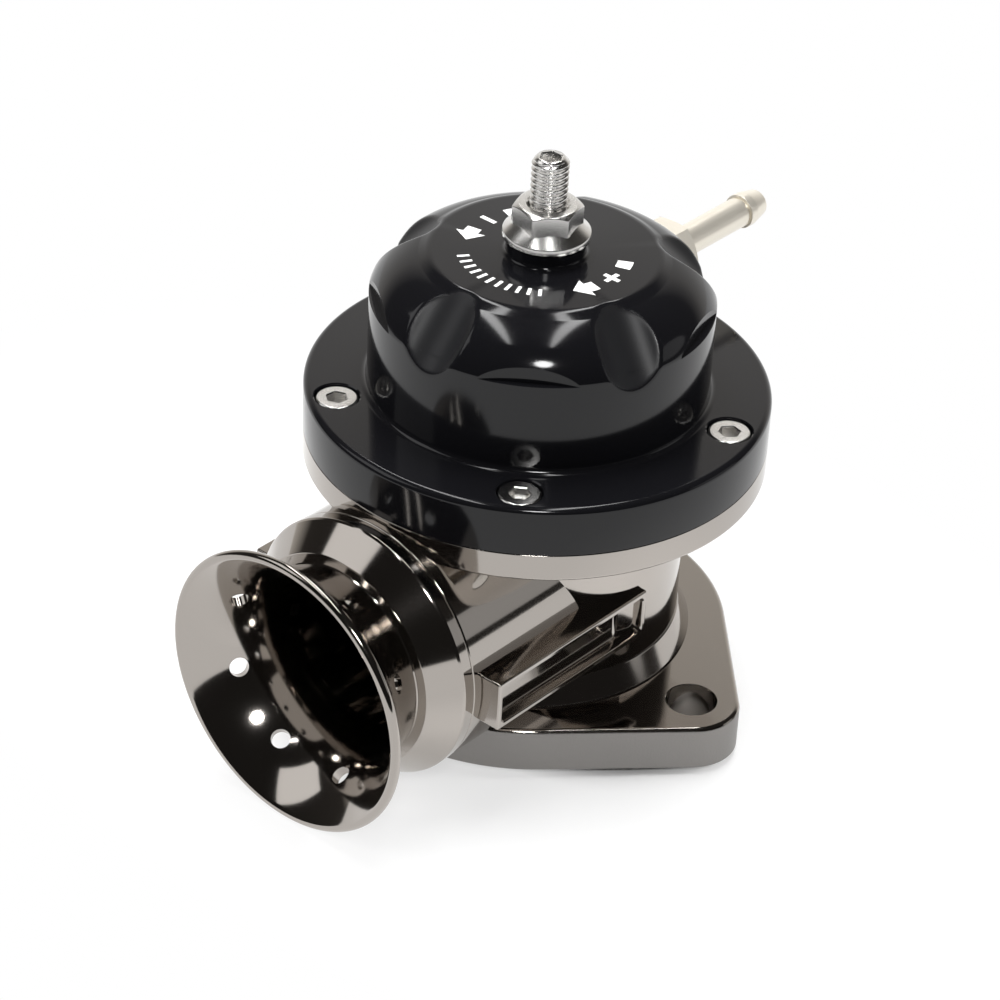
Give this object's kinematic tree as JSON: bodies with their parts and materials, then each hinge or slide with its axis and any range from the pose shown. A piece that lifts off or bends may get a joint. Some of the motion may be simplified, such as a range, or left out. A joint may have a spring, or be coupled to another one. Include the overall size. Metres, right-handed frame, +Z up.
{
  "type": "blow off valve",
  "caption": "Diaphragm blow off valve with an inlet flange, a flared side trumpet, a scalloped spring cover, a preload screw with a lock nut and a vacuum hose barb.",
  "frame": {"origin": "centre of the inlet flange's face, midway between the two bolt holes", "axes": "+Z up the valve's axis to the adjusting screw, trumpet along -X, hose barb along +X, bolt holes along Y"},
  "size_m": [0.115, 0.0884, 0.0974],
  "materials": {
    "gunmetal": "polished gunmetal",
    "gloss_black": "gloss black anodised",
    "stainless": "bright stainless",
    "nickel": "nickel plated",
    "alloy": "turned",
    "bronze": "bearing bronze",
    "copper": "soft copper",
    "rubber": "matte"
  },
  "bodies": {
    "housing": {"body": "gunmetal", "valve_seat": "stainless", "flange_o_ring": "rubber", "guide_bush": "bronze", "guide_seal": "rubber", "trumpet": "gunmetal", "trumpet_o_ring": "rubber", "cover": "gloss_black", "cover_screws": "stainless", "vacuum_nipple": "nickel", "nipple_washer": "copper", "screw_seal": "rubber", "diaphragm": "rubber", "spring": "stainless"},
    "valve": {"valve_stem": "stainless", "valve_head": "alloy", "valve_seal": "rubber", "head_screw": "stainless", "lower_plate": "alloy", "upper_plate": "alloy", "stem_washer": "stainless", "stem_nut": "stainless"},
    "preload": {"spring_seat": "alloy"},
    "adjuster": {"adjusting_screw": "stainless"},
    "nut": {"lock_nut": "stainless"}
  },
  "joints": [
    {"name": "valve_lift", "type": "slide", "parent": "housing", "child": "valve", "axis": [0, 0, 1], "range_m": [0, 0.005], "stiffness_N_per_m": 4200, "springref_m": -0.006, "deforming": ["spring", "diaphragm"]},
    {"name": "preload_slide", "type": "slide", "parent": "housing", "child": "preload", "axis": [0, 0, 1], "range_m": [-0.006, 0.003], "deforming": ["spring"]},
    {"name": "adjuster_turn", "type": "hinge", "parent": "preload", "child": "adjuster", "pos_m": [0, 0, 0.0805], "axis": [0, 0, 1], "range_deg": [-2165, 1085]},
    {"name": "lock_nut_turn", "type": "hinge", "parent": "housing", "child": "nut", "pos_m": [0, 0, 0.0805], "axis": [0, 0, 1], "range_deg": [0, 90]}
  ],
  "couplings": [
    {"joint": "adjuster_turn", "follows": "preload_slide", "rad_per_m": 6283.2}
  ]
}
